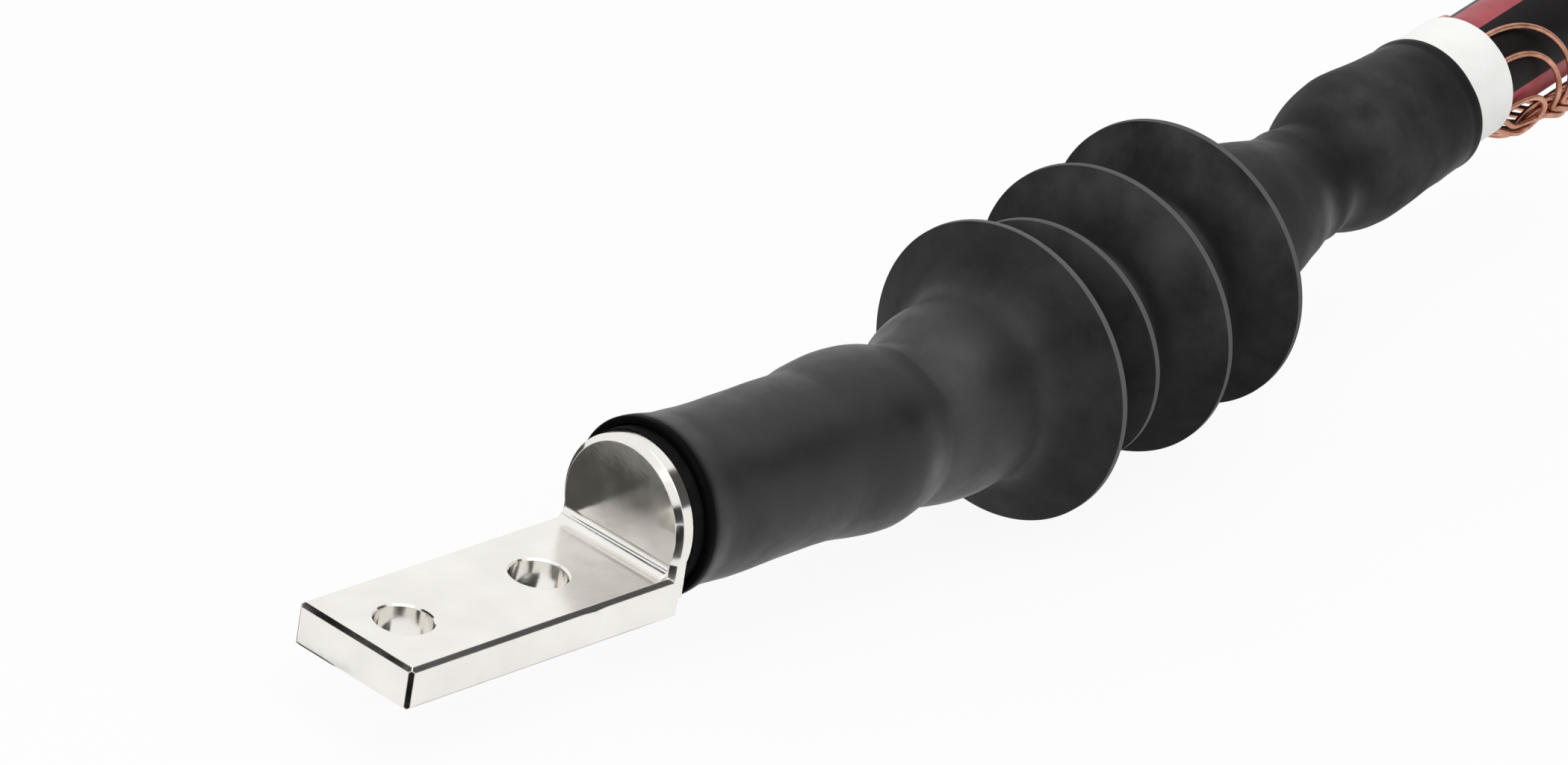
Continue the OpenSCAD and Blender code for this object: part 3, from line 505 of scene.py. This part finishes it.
def tubes(name, paths, radius, sides):
    verts, faces = [], []
    for path in paths:
        v, f = tube(path, radius, sides)
        faces += [tuple(i + len(verts) for i in face) for face in f]
        verts += v
    return add_mesh(name, verts, faces)


def copper_wires():
    paths = [on_line(*wire_route(k).T) for k in range(WIRES)]
    obj = tubes("copper_wires", paths, WIRE_R * MM, WIRE_SIDES)
    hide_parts("neutral_wires")
    return obj


# Stranded conductor: one strand in the middle and two layers twisted round it, five strands across
STRANDS_ACROSS, STRAND_FIT = 5, 0.985
STRAND_R = CONDUCTOR_R / STRANDS_ACROSS * STRAND_FIT
STRAND_STEP, STRAND_SLACK, STRAND_SIDES = 2.0, 0.01, 12
# Strands in a layer, radius of their ring and length of a turn
STRAND_LAYERS = ((1, 0.0, 1.0), (6, 2 * STRAND_R, 150.0), (12, 4 * STRAND_R, -170.0))


def stranded_conductor():
    at = np.arange(BORE_FLOOR_AT, CABLE_END_AT + STRAND_SLACK, STRAND_STEP)
    at[-1] = CABLE_END_AT
    paths = []
    for count, ring, lay in STRAND_LAYERS:
        for k in range(count):
            turn = 2 * math.pi * (k / count + at / lay)
            paths.append(on_line(at, ring * np.cos(turn), ring * np.sin(turn)))
    obj = tubes("stranded_conductor", paths, STRAND_R * MM, STRAND_SIDES)
    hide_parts("conductor")
    return obj


# White tape wound in overlapping turns over the folded wires
TAPE_PITCH, TAPE_EDGE, TAPE_RINGS = 9.0, 0.14, 60
TAPE_SLOPE, TAPE_LAP = 1.15, 0.93
WIRE_RIDGE, RIDGE_WIDTH = 0.10, 0.085
# Rounded rear edge, as steps inwards and forwards, and where the windings fade before it
TAPE_SINK, TAPE_BACK, TAPE_END = 0.05, 0.25, ((0.2, 0.05), (0.36, 0.0))
LAP_AHEAD, LAP_FADE = 0.6, 3.0
TAPE_BORE_AT = (TAPE_REAR_AT, TAPE_REAR_AT - 6, TAPE_FRONT_AT)


def wound_tape():
    places = np.linspace(TAPE_FRONT_AT, TAPE_REAR_AT - TAPE_BACK, TAPE_RINGS)
    outer = [(WRAP_TOP_R - TAPE_SINK, place) for place in places]
    outer = np.array(outer + [(WRAP_TOP_R - into, TAPE_REAR_AT - ahead) for into, ahead in TAPE_END])
    r, at = all_round(outer)
    winding = ((at - TAPE_FRONT_AT) / TAPE_PITCH - TURN / (2 * math.pi)) % 1.0
    soft = share(TAPE_REAR_AT - LAP_AHEAD - at, LAP_FADE)
    r = r - soft * TAPE_EDGE * np.clip(winding * TAPE_SLOPE, 0, 1) * (winding < TAPE_LAP)
    for k in range(WIRES):
        over = np.angle(np.exp(1j * (TURN - math.radians(PIGTAIL_TURN + leaving_offset(k)))))
        r = r + WIRE_RIDGE * np.exp(-(over / RIDGE_WIDTH) ** 2)
    inner = np.array([(WRAP_R, place) for place in TAPE_BORE_AT])
    verts = np.concatenate([revolved(r, at), revolved(*all_round(inner))])
    obj = add_mesh("wound_tape", verts, loop_faces(len(outer) + len(inner), SIDES, True))
    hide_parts("white_tape")
    return obj


# Materials. Noise is spread between two stops, unless others are given
NOISE_STOPS = (0.3, 0.7)


def grey(value):
    return (value, value, value)


class Nodes:
    """Small helper to build a node material on the Principled shader."""

    def __init__(self, name, **sockets):
        self.mat = bpy.data.materials.new(name)
        self.mat.use_nodes = True
        self.tree = self.mat.node_tree
        self.bsdf = self.tree.nodes["Principled BSDF"]
        for key, value in sockets.items():
            self.bsdf.inputs[key.replace("_", " ")].default_value = value

    def add(self, kind, **values):
        """A node with its settings and inputs."""
        n = self.tree.nodes.new(kind)
        for key, value in values.items():
            if hasattr(n, key):
                setattr(n, key, value)
            else:
                n.inputs[key.replace("_", " ")].default_value = value
        return n

    def link(self, a, b):
        self.tree.links.new(a, b)

    def position(self, scale=(1.0, 1.0, 1.0)):
        c = self.add("ShaderNodeTexCoord")
        m = self.add("ShaderNodeMapping")
        m.inputs["Scale"].default_value = scale
        self.link(c.outputs["Object"], m.inputs["Vector"])
        return m.outputs["Vector"]

    def noise(self, vector, scale, detail=3.0, rough=0.5):
        n = self.add("ShaderNodeTexNoise", Scale=scale, Detail=detail, Roughness=rough)
        self.link(vector, n.inputs["Vector"])
        return n.outputs["Fac"]

    def ramp(self, fac, low, high, stops=NOISE_STOPS):
        """A colour that runs from low to high between two stops."""
        r = self.add("ShaderNodeValToRGB")
        for element, place, colour in zip(r.color_ramp.elements, stops, (low, high)):
            element.position, element.color = place, (*colour, 1)
        self.link(fac, r.inputs["Fac"])
        return r.outputs["Color"]

    def span(self, fac, low, high, stops=NOISE_STOPS):
        """A number that runs from low to high between two stops."""
        m = self.add("ShaderNodeMapRange")
        for key, value in zip(("From Min", "From Max", "To Min", "To Max"), (*stops, low, high)):
            m.inputs[key].default_value = value
        self.link(fac, m.inputs["Value"])
        return m.outputs["Result"]

    def math(self, operation, *inputs):
        """A sum or product of sockets and numbers."""
        n = self.add("ShaderNodeMath", operation=operation)
        self.fill(n, enumerate(inputs))
        return n.outputs[0]

    def mix(self, fac, a, b):
        m = self.add("ShaderNodeMix", data_type="RGBA")
        self.fill(m, ((0, fac), (6, a), (7, b)))
        return m.outputs[2]

    def fill(self, node, inputs):
        """Links sockets to a node's numbered inputs, and sets the others."""
        for number, value in inputs:
            if hasattr(value, "is_linked"):
                self.link(value, node.inputs[number])
            else:
                node.inputs[number].default_value = value

    def bump(self, height, strength, distance, normal=None):
        b = self.add("ShaderNodeBump", Strength=strength, Distance=distance)
        self.link(height, b.inputs["Height"])
        if normal is not None:
            self.link(normal, b.inputs["Normal"])
        return b.outputs["Normal"]

    def out(self, socket, name):
        self.link(socket, self.bsdf.inputs[name])


def plated_metal():
    m = Nodes("plated_lug", Metallic=1.0)
    p = m.position()
    streak = m.noise(m.position((0.12, 1.0, 1.0)), 900.0, 4.0)
    cloud = m.noise(p, 55.0, 3.0)
    m.out(m.ramp(cloud, (0.83, 0.805, 0.765), (0.92, 0.895, 0.855)), "Base Color")
    # The palm's top and the faces to the front are brushed and duller than the machined bevels
    way = m.add("ShaderNodeSeparateXYZ")
    m.link(m.add("ShaderNodeNewGeometry").outputs["True Normal"], way.inputs[0])
    top = m.span(way.outputs["Z"], 0.0, 0.08, (0.97, 0.99))
    front = m.span(way.outputs["X"], 0.02, 0.0, (-0.99, -0.97))
    rough = m.span(m.noise(p, 160.0, 4.0), 0.08, 0.17)
    m.out(m.math("ADD", m.math("ADD", top, front), rough), "Roughness")
    edge = m.add("ShaderNodeBevel", samples=6, Radius=0.00035)
    first = m.bump(streak, 0.05, 0.0002, edge.outputs["Normal"])
    m.out(m.bump(cloud, 0.10, 0.0006, first), "Normal")
    return m.mat


def body_rubber():
    m = Nodes("body_rubber", IOR=1.5, Specular_IOR_Level=0.25)
    p = m.position()
    rim, gloss, matte, end = (
        m.add("ShaderNodeAttribute", attribute_name=n).outputs["Fac"] for n in ("rim", "gloss", "matte", "end")
    )
    cloud = m.noise(p, 60.0, 4.0, 0.6)
    clean = m.ramp(cloud, (0.010, 0.010, 0.0108), (0.016, 0.016, 0.017))
    dull_and_lit = m.ramp(cloud, (0.022, 0.022, 0.0225), grey(0.060))
    # Partly dull rubber, partly painted light: a lighter base where the attribute is high
    base = m.mix(matte, clean, dull_and_lit)
    speck = m.span(m.noise(p, 1400.0, 2.0), 0.0, 0.1, (0.66, 0.74))
    base = m.mix(speck, base, (0.10, 0.098, 0.095, 1))
    # Painted highlight: pale shed rims, for the light they catch
    base = m.mix(rim, base, (*grey(0.11), 1))
    # Painted shade: near black at the front end, for the shadow in the gap at the lug
    m.out(m.mix(end, base, (*grey(0.003), 1)), "Base Color")
    m.out(m.span(gloss, 0.02, 1.08, (-0.1, 2.0)), "Specular IOR Level")
    rough = m.span(m.noise(p, 85.0, 5.0, 0.62), 0.36, 0.52)
    m.out(m.math("MULTIPLY_ADD", matte, 0.28, rough), "Roughness")
    fine = m.bump(m.noise(p, 1700.0, 3.0), 0.10, 0.00012)
    m.out(m.bump(m.noise(p, 190.0, 4.0, 0.55), 0.22, 0.0006, fine), "Normal")
    return m.mat


def plastic(name, low, high, rough_low, rough_high, bump=0.1, scale=120.0, specular=0.5):
    m = Nodes(name, IOR=1.5, Specular_IOR_Level=specular)
    p = m.position()
    m.out(m.ramp(m.noise(p, scale, 4.0), low, high), "Base Color")
    m.out(m.span(m.noise(p, scale * 1.7, 3.0), rough_low, rough_high), "Roughness")
    m.out(m.bump(m.noise(p, scale * 6.0, 3.0), bump, 0.0003), "Normal")
    return m.mat


def bare_metal(name, low, high, rough_low, rough_high, scale=300.0):
    m = Nodes(name, Metallic=1.0)
    p = m.position()
    m.out(m.ramp(m.noise(p, scale, 5.0, 0.6), low, high, (0.28, 0.72)), "Base Color")
    m.out(m.span(m.noise(p, scale * 0.6, 3.0), rough_low, rough_high), "Roughness")
    m.out(m.bump(m.noise(p, scale * 4.0, 3.0), 0.15, 0.0002), "Normal")
    return m.mat


def paper_tape():
    m = Nodes("white_tape", IOR=1.5)
    p = m.position()
    m.out(m.ramp(m.noise(p, 140.0, 4.0), (0.92, 0.905, 0.87), (0.97, 0.96, 0.93)), "Base Color")
    m.out(m.span(m.noise(p, 240.0, 3.0), 0.42, 0.58), "Roughness")
    fine = m.bump(m.noise(p, 1500.0, 2.0), 0.08, 0.0001)
    m.out(m.bump(m.noise(p, 210.0, 3.0), 0.18, 0.0005, fine), "Normal")
    return m.mat


def dress(obj, material):
    obj.data.materials.clear()
    obj.data.materials.append(material)


body = rubber_body()
wires = copper_wires()
strands = stranded_conductor()
tape = wound_tape()
for piece in (body, wires, strands, tape):
    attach(piece, "root")

# Bare metals take the material's name, two colours, least and most roughness, and the size of their clouds
dress(body, body_rubber())
dress(wires, bare_metal("bare_copper", (0.34, 0.135, 0.075), (0.72, 0.39, 0.27), 0.22, 0.42, 260.0))
dress(strands, bare_metal("bare_aluminium", (0.66, 0.66, 0.67), grey(0.82), 0.25, 0.42))
dress(tape, paper_tape())
dress(nodes["lug"], plated_metal())
dress(nodes["bore_insert"], bare_metal("insert_aluminium", (0.64, 0.64, 0.65), grey(0.80), 0.28, 0.45))
dress(nodes["shear_bolts"], bare_metal("plated_bolt", (0.48, 0.46, 0.42), (0.68, 0.66, 0.62), 0.25, 0.45))

# Plastics and rubbers by node: material, colours, roughness, then bump, size of the clouds and specular level
PLASTICS = {
    "conductor_shield": ("semiconducting_black", grey(0.018), grey(0.034), 0.5, 0.68),
    "insulation_shield": ("shield_black", grey(0.018), grey(0.034), 0.5, 0.68),
    "insulation": ("insulation_white", (0.80, 0.80, 0.76), (0.88, 0.88, 0.85), 0.32, 0.46, 0.06),
    "stress_control_tube": ("stress_rubber", (0.045, 0.045, 0.05), (0.07, 0.07, 0.075), 0.5, 0.66),
    "screen_edge_mastic": ("yellow_mastic", (0.62, 0.53, 0.2), (0.78, 0.69, 0.32), 0.4, 0.6, 0.3),
    "lug_gap_mastic": ("lug_gap_mastic", grey(0.004), grey(0.01), 0.5, 0.7, 0.4, 120.0, 0.05),
    "front_seal_mastic": ("front_seal_mastic", grey(0.004), grey(0.01), 0.5, 0.7, 0.4, 120.0, 0.05),
    "rear_seal_mastic": ("rear_seal_mastic", grey(0.004), grey(0.01), 0.5, 0.7, 0.4, 120.0, 0.05),
    "jacket": ("jacket_black", (0.003, 0.0022, 0.002), (0.007, 0.005, 0.0045), 0.36, 0.48, 0.06, 90.0, 0.1),
    "jacket_stripes": ("jacket_red", (0.30, 0.04, 0.05), (0.42, 0.065, 0.08), 0.34, 0.48, 0.06, 90.0, 0.25),
}
for node, values in PLASTICS.items():
    dress(nodes[node], plastic(*values))

# Camera, as fitted to the photograph: place in millimetres, focal length and width in the photograph's pixels
CAMERA_AT, FOCAL_PX, PHOTO_W, SENSOR_W = (-1354.3, -1197.8, 953.3), 11672.2, 2099.0, 36.0
CAMERA_FORWARD, CAMERA_DOWN = (0.69487, 0.57238, -0.43536), (-0.22433, -0.40266, -0.88744)
forward, down = Vector(CAMERA_FORWARD).normalized(), Vector(CAMERA_DOWN).normalized()
right = down.cross(forward).normalized()
camera_data = bpy.data.cameras.new("camera")
camera_data.sensor_fit = "HORIZONTAL"
camera_data.sensor_width = SENSOR_W
camera_data.lens = FOCAL_PX * SENSOR_W / PHOTO_W
camera_data.clip_start, camera_data.clip_end = 0.05, 50.0
camera = bpy.data.objects.new("camera", camera_data)
scene.collection.objects.link(camera)
turned = Matrix((right, -down, -forward)).transposed()
camera.matrix_world = Matrix.Translation(Vector(CAMERA_AT) * MM) @ turned.to_4x4()
scene.camera = camera


# Floor and light
def ray_share(tree):
    """1 for rays from the camera and for mirrored or refracted ones, else 0."""
    path = tree.nodes.new("ShaderNodeLightPath")
    total = path.outputs["Is Camera Ray"]
    for name in ("Is Glossy Ray", "Is Transmission Ray"):
        m = tree.nodes.new("ShaderNodeMath")
        m.operation, m.use_clamp = "ADD", True
        tree.links.new(total, m.inputs[0])
        tree.links.new(path.outputs[name], m.inputs[1])
        total = m.outputs[0]
    return total


FLOOR_HALF, FLOOR_GAP, FLOOR_GLOW = 4.0, 0.0005, 0.92


def make_floor():
    """White to the camera and to mirrored rays, and it keeps the part's shadow."""
    size, z = FLOOR_HALF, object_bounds()[0].z - FLOOR_GAP
    corners = [(-size, -size, z), (size, -size, z), (size, size, z), (-size, size, z)]
    obj = add_mesh("floor", corners, [(0, 1, 2, 3)], False)
    m = Nodes("floor", Roughness=0.9)
    m.out(m.ramp(m.noise(m.position(), 3.0), grey(0.80), grey(0.82)), "Base Color")
    glow = m.add("ShaderNodeEmission", Color=(1, 1, 1, 1), Strength=1.0)
    blend = m.add("ShaderNodeMixShader")
    m.link(m.math("MULTIPLY", ray_share(m.tree), FLOOR_GLOW), blend.inputs["Fac"])
    m.link(m.bsdf.outputs["BSDF"], blend.inputs[1])
    m.link(glow.outputs["Emission"], blend.inputs[2])
    m.link(blend.outputs["Shader"], m.tree.nodes["Material Output"].inputs["Surface"])
    dress(obj, m.mat)
    obj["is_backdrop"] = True


def make_world():
    """White to the camera and to mirrored rays, and dimmer as a light."""
    world = bpy.data.worlds.new("studio")
    world.use_nodes = True
    tree = world.node_tree
    back = tree.nodes["Background"]
    back.inputs["Color"].default_value = (0.97, 0.985, 1.0, 1)
    back.inputs["Strength"].default_value = 0.65
    white = tree.nodes.new("ShaderNodeBackground")
    white.inputs["Color"].default_value = (1, 1, 1, 1)
    white.inputs["Strength"].default_value = 1.0
    blend = tree.nodes.new("ShaderNodeMixShader")
    tree.links.new(ray_share(tree), blend.inputs["Fac"])
    tree.links.new(back.outputs["Background"], blend.inputs[1])
    tree.links.new(white.outputs["Background"], blend.inputs[2])
    tree.links.new(blend.outputs["Shader"], tree.nodes["World Output"].inputs["Surface"])
    scene.world = world


def lamp(name, place, target, size, watts, mirrored=True):
    data = bpy.data.lights.new(name, "AREA")
    data.shape, data.size, data.size_y = "RECTANGLE", size[0], size[1]
    data.energy = watts
    obj = bpy.data.objects.new(name, data)
    scene.collection.objects.link(obj)
    obj.location = place
    obj.visible_glossy = mirrored
    obj.rotation_euler = (Vector(target) - Vector(place)).to_track_quat("-Z", "Y").to_euler()


def dark_card(name, centre, across, up, colour):
    """Dark card, given by half its width and half its height, that only mirrored rays meet; lying on the floor
    it is painted shadow.
    """
    centre, across, up = Vector(centre), Vector(across), Vector(up)
    corners = [centre - across - up, centre + across - up, centre + across + up, centre - across + up]
    obj = add_mesh(name, corners, [(0, 1, 2, 3)], False)
    m = Nodes(name, Roughness=0.9, Specular_IOR_Level=0.0)
    low, high = [0.8 * c for c in colour], [1.2 * c for c in colour]
    m.out(m.ramp(m.noise(m.position(), 30.0), low, high), "Base Color")
    dress(obj, m.mat)
    for way in ("camera", "diffuse", "shadow", "transmission", "volume_scatter"):
        setattr(obj, "visible_" + way, False)
    obj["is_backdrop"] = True


make_floor()
make_world()
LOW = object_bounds()[0].z + 0.001
DARK, SHADE, HALF_SHADE = (0.012, 0.012, 0.011), (0.07, 0.07, 0.06), (0.24, 0.24, 0.22)

# What the lug and the rubber mirror: the room in front, dark cards beside the part, and painted shadow on the
# floor
dark_card("room", (-1.7, -1.5, 0.15), (-0.95, 1.08, 0), (0, 0, 0.55), (0.05, 0.05, 0.052))
dark_card("shoulder_shade", (-0.004, 0.07, LOW), (0.024, 0, 0), (0, 0.05, 0), SHADE)
dark_card("far_shade", (-0.044, 0.07, LOW), (0.016, 0, 0), (0, 0.05, 0), HALF_SHADE)
dark_card("palm_shade", (-0.0378, 0.0451, 0.0413), (0.0168, 0.0211, 0), (-0.0156, 0.0125, 0), DARK)
dark_card("under_shade", (0.02, -0.0285, LOW), (0.04, 0, 0), (0, 0.0075, 0), SHADE)
dark_card("left_shade", (0.095, 0.20, LOW), (0.035, 0, 0), (0, 0.14, 0), SHADE)
dark_card("corner_shade", (-0.0675, -0.0575, LOW), (0.0225, 0, 0), (0, 0.0225, 0), DARK)
dark_card("cheek_shade", (0.036, -0.0335, 0.0125), (0, 0.003, 0), (0, 0, 0.012), DARK)
dark_card("side_shade", (0.88, -0.60, 0.62), (0.21, 0.29, 0), (-0.16, 0.12, 0.29), grey(0.10))
dark_card("front_shade", (-0.1695, 0.1697, 0.22), (0.036, 0.027, 0), (0.0175, -0.0217, 0.025), DARK)
lamp("key", (-0.3, -0.5, 1.5), (0.2, 0, 0), (1.4, 1.4), 11.0)
lamp("rim", (0.9, 1.2, 0.9), (0.2, 0, 0), (1.2, 0.8), 4.0, False)

scene.view_settings.view_transform = "Standard"
